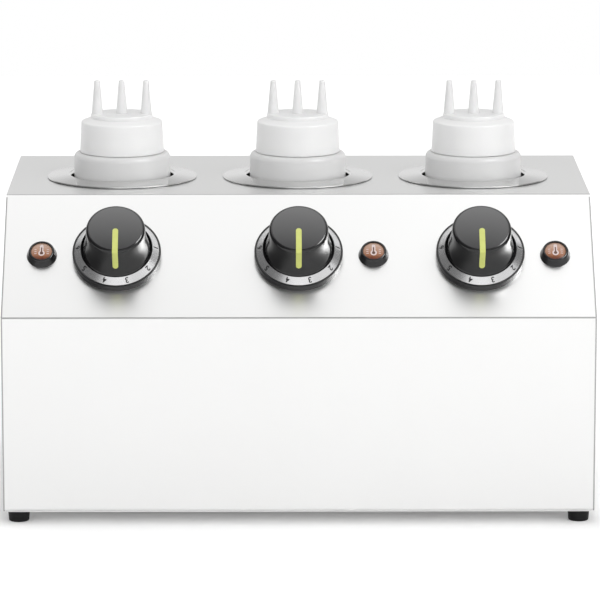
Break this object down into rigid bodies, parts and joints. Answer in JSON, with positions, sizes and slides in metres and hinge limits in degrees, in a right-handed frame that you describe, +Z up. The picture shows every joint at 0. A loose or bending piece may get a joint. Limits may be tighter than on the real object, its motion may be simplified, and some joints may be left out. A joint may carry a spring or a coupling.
{
  "type": "topping warmer",
  "caption": "Stainless countertop warmer: dry heated wells hold squeeze bottles upright behind a sloped panel with a control knob and pilot lamp for each.",
  "frame": {"origin": "on the table under the middle of the object's box", "axes": "+X along the front from left to right, +Y from the front to the back, +Z up"},
  "size_m": [0.44, 0.292, 0.3094],
  "materials": {
    "casing_steel": "polished stainless sheet",
    "fastener_steel": "bright steel",
    "rubber": "moulded black rubber",
    "black_nylon": "moulded nylon",
    "block_white": "moulded ceramic-filled plastic",
    "gasket_silicone": "grey silicone",
    "band_steel": "plain steel band",
    "glass_wool": "felted glass wool",
    "cutout_phenolic": "brown phenolic",
    "capillary_copper": "drawn copper",
    "dial_silver": "satin anodised ring",
    "well_steel": "polished deep-drawn stainless",
    "thermostat_grey": "moulded plastic on a plated bracket",
    "shaft_steel": "turned steel",
    "dial_black": "satin black plastic",
    "knob_black": "gloss black plastic",
    "pointer_lime": "lime green insert",
    "bezel_black": "gloss black plastic",
    "lens_amber": "translucent amber",
    "bottle_natural": "translucent natural polyethylene",
    "cap_natural": "translucent natural polyethylene",
    "seal_white": "foamed washer"
  },
  "bodies": {
    "housing": {"band_bolts": "fastener_steel", "band_heater_1": "band_steel", "band_heater_2": "band_steel", "band_heater_3": "band_steel", "base_plate": "casing_steel", "base_plate_screws": "fastener_steel", "cable_gland": "black_nylon", "capillary_tubes": "capillary_copper", "dial_base_1": "dial_black", "dial_base_2": "dial_black", "dial_base_3": "dial_black", "dial_rings": "dial_silver", "earth_stud": "fastener_steel", "foot_nuts": "fastener_steel", "foot_screws": "fastener_steel", "gland_locknut": "black_nylon", "insulation_jackets": "glass_wool", "lamp_bezel_1": "bezel_black", "lamp_bezel_2": "bezel_black", "lamp_bezel_3": "bezel_black", "lamp_lens_1": "lens_amber", "lamp_lens_2": "lens_amber", "lamp_lens_3": "lens_amber", "lamp_nuts": "black_nylon", "rear_panel": "casing_steel", "rear_panel_screws": "fastener_steel", "rubber_feet": "rubber", "side_panel_left": "casing_steel", "side_panel_right": "casing_steel", "terminal_block": "block_white", "thermal_cutouts": "cutout_phenolic", "thermostat_1": "thermostat_grey", "thermostat_2": "thermostat_grey", "thermostat_3": "thermostat_grey", "thermostat_screws": "fastener_steel", "well_1": "well_steel", "well_2": "well_steel", "well_3": "well_steel", "well_collars": "band_steel", "well_gaskets": "gasket_silicone", "wrap_panel": "casing_steel"},
    "knob_1": {"knob_1": "knob_black", "knob_pointer_1": "pointer_lime", "thermostat_shaft_1": "shaft_steel"},
    "bottle_1": {"bottle_1": "bottle_natural"},
    "seal_1": {"cap_seal_1": "seal_white"},
    "cap_1": {"bottle_cap_1": "cap_natural"},
    "knob_2": {"knob_2": "knob_black", "knob_pointer_2": "pointer_lime", "thermostat_shaft_2": "shaft_steel"},
    "bottle_2": {"bottle_2": "bottle_natural"},
    "seal_2": {"cap_seal_2": "seal_white"},
    "cap_2": {"bottle_cap_2": "cap_natural"},
    "knob_3": {"knob_3": "knob_black", "knob_pointer_3": "pointer_lime", "thermostat_shaft_3": "shaft_steel"},
    "bottle_3": {"bottle_3": "bottle_natural"},
    "seal_3": {"cap_seal_3": "seal_white"},
    "cap_3": {"bottle_cap_3": "cap_natural"}
  },
  "joints": [
    {"name": "knob_1_turn", "type": "hinge", "parent": "housing", "child": "knob_1", "pos_m": [-0.1355, -0.1035, 0.1952], "axis": [0, -0.6761, 0.7368], "range_deg": [-132, 132]},
    {"name": "bottle_1_lift", "type": "slide", "parent": "housing", "child": "bottle_1", "axis": [0, 0, 1], "range_m": [0, 0.19]},
    {"name": "seal_1_rise", "type": "slide", "parent": "bottle_1", "child": "seal_1", "axis": [0, 0, 1], "range_m": [0, 0.0076]},
    {"name": "cap_1_unscrew", "type": "hinge", "parent": "seal_1", "child": "cap_1", "pos_m": [-0.1355, 0.019, 0.2548], "axis": [0, 0, 1], "range_deg": [0, 540]},
    {"name": "knob_2_turn", "type": "hinge", "parent": "housing", "child": "knob_2", "pos_m": [0, -0.1035, 0.1952], "axis": [0, -0.6761, 0.7368], "range_deg": [-132, 132]},
    {"name": "bottle_2_lift", "type": "slide", "parent": "housing", "child": "bottle_2", "axis": [0, 0, 1], "range_m": [0, 0.19]},
    {"name": "seal_2_rise", "type": "slide", "parent": "bottle_2", "child": "seal_2", "axis": [0, 0, 1], "range_m": [0, 0.0076]},
    {"name": "cap_2_unscrew", "type": "hinge", "parent": "seal_2", "child": "cap_2", "pos_m": [0, 0.019, 0.2548], "axis": [0, 0, 1], "range_deg": [0, 540]},
    {"name": "knob_3_turn", "type": "hinge", "parent": "housing", "child": "knob_3", "pos_m": [0.1355, -0.1035, 0.1952], "axis": [0, -0.6761, 0.7368], "range_deg": [-132, 132]},
    {"name": "bottle_3_lift", "type": "slide", "parent": "housing", "child": "bottle_3", "axis": [0, 0, 1], "range_m": [0, 0.19]},
    {"name": "seal_3_rise", "type": "slide", "parent": "bottle_3", "child": "seal_3", "axis": [0, 0, 1], "range_m": [0, 0.0076]},
    {"name": "cap_3_unscrew", "type": "hinge", "parent": "seal_3", "child": "cap_3", "pos_m": [0.1355, 0.019, 0.2548], "axis": [0, 0, 1], "range_deg": [0, 540]}
  ],
  "couplings": [
    {"joint": "seal_1_rise", "follows": "cap_1_unscrew", "m_per_rad": 0.00079577},
    {"joint": "seal_2_rise", "follows": "cap_2_unscrew", "m_per_rad": 0.00079577},
    {"joint": "seal_3_rise", "follows": "cap_3_unscrew", "m_per_rad": 0.00079577}
  ]
}
